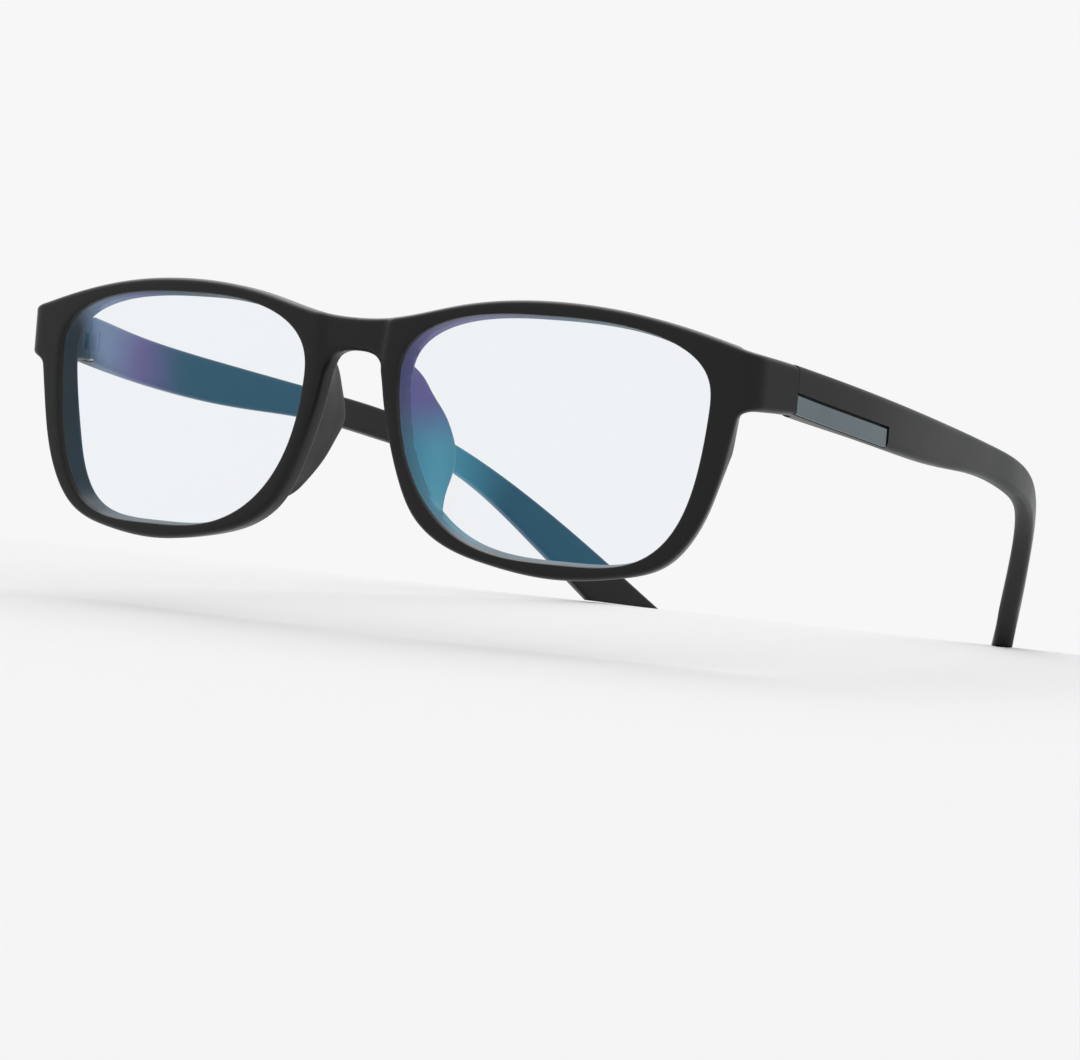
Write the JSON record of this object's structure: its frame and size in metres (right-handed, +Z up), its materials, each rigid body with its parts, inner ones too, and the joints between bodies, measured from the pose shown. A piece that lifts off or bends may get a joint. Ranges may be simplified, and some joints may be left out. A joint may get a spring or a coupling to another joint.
{
  "type": "glasses",
  "caption": "Full-rim rectangular glasses with clear blue-filter lenses, nose pads on a curved front, and two temples that fold inwards on screwed hinges.",
  "frame": {"origin": "bottom centre of the open glasses' bounding box, on the surface that the rims and temple tips stand on", "axes": "+Z up, +Y from the front of the glasses towards the temple tips, +X to the wearer's left"},
  "size_m": [0.1432, 0.151, 0.0413],
  "materials": {
    "front_black": "soft-touch matte",
    "pad_black": "soft-touch matte",
    "temple_black": "soft-touch matte",
    "lens_clear": "clear with a blue-violet anti-reflection coating",
    "plaque_grey": "satin anodised grey",
    "screw_steel": "polished head",
    "insert_brass": "plain"
  },
  "bodies": {
    "front": {"frame_front": "front_black", "lens_left": "lens_clear", "lens_right": "lens_clear", "nose_pad_left": "pad_black", "nose_pad_right": "pad_black"},
    "left_temple": {"temple_left": "temple_black", "plaque_left": "plaque_grey", "hinge_screw_left": "screw_steel", "hinge_insert_left": "insert_brass"},
    "right_temple": {"temple_right": "temple_black", "plaque_right": "plaque_grey", "hinge_screw_right": "screw_steel", "hinge_insert_right": "insert_brass"}
  },
  "joints": [
    {"name": "left_temple_fold", "type": "hinge", "parent": "front", "child": "left_temple", "pos_m": [0.0667, -0.05748, 0.03112], "axis": [0, -0.0613, 0.9981], "range_deg": [0, 80]},
    {"name": "right_temple_fold", "type": "hinge", "parent": "front", "child": "right_temple", "pos_m": [-0.0667, -0.05748, 0.03112], "axis": [0, 0.0613, -0.9981], "range_deg": [0, 75]}
  ]
}
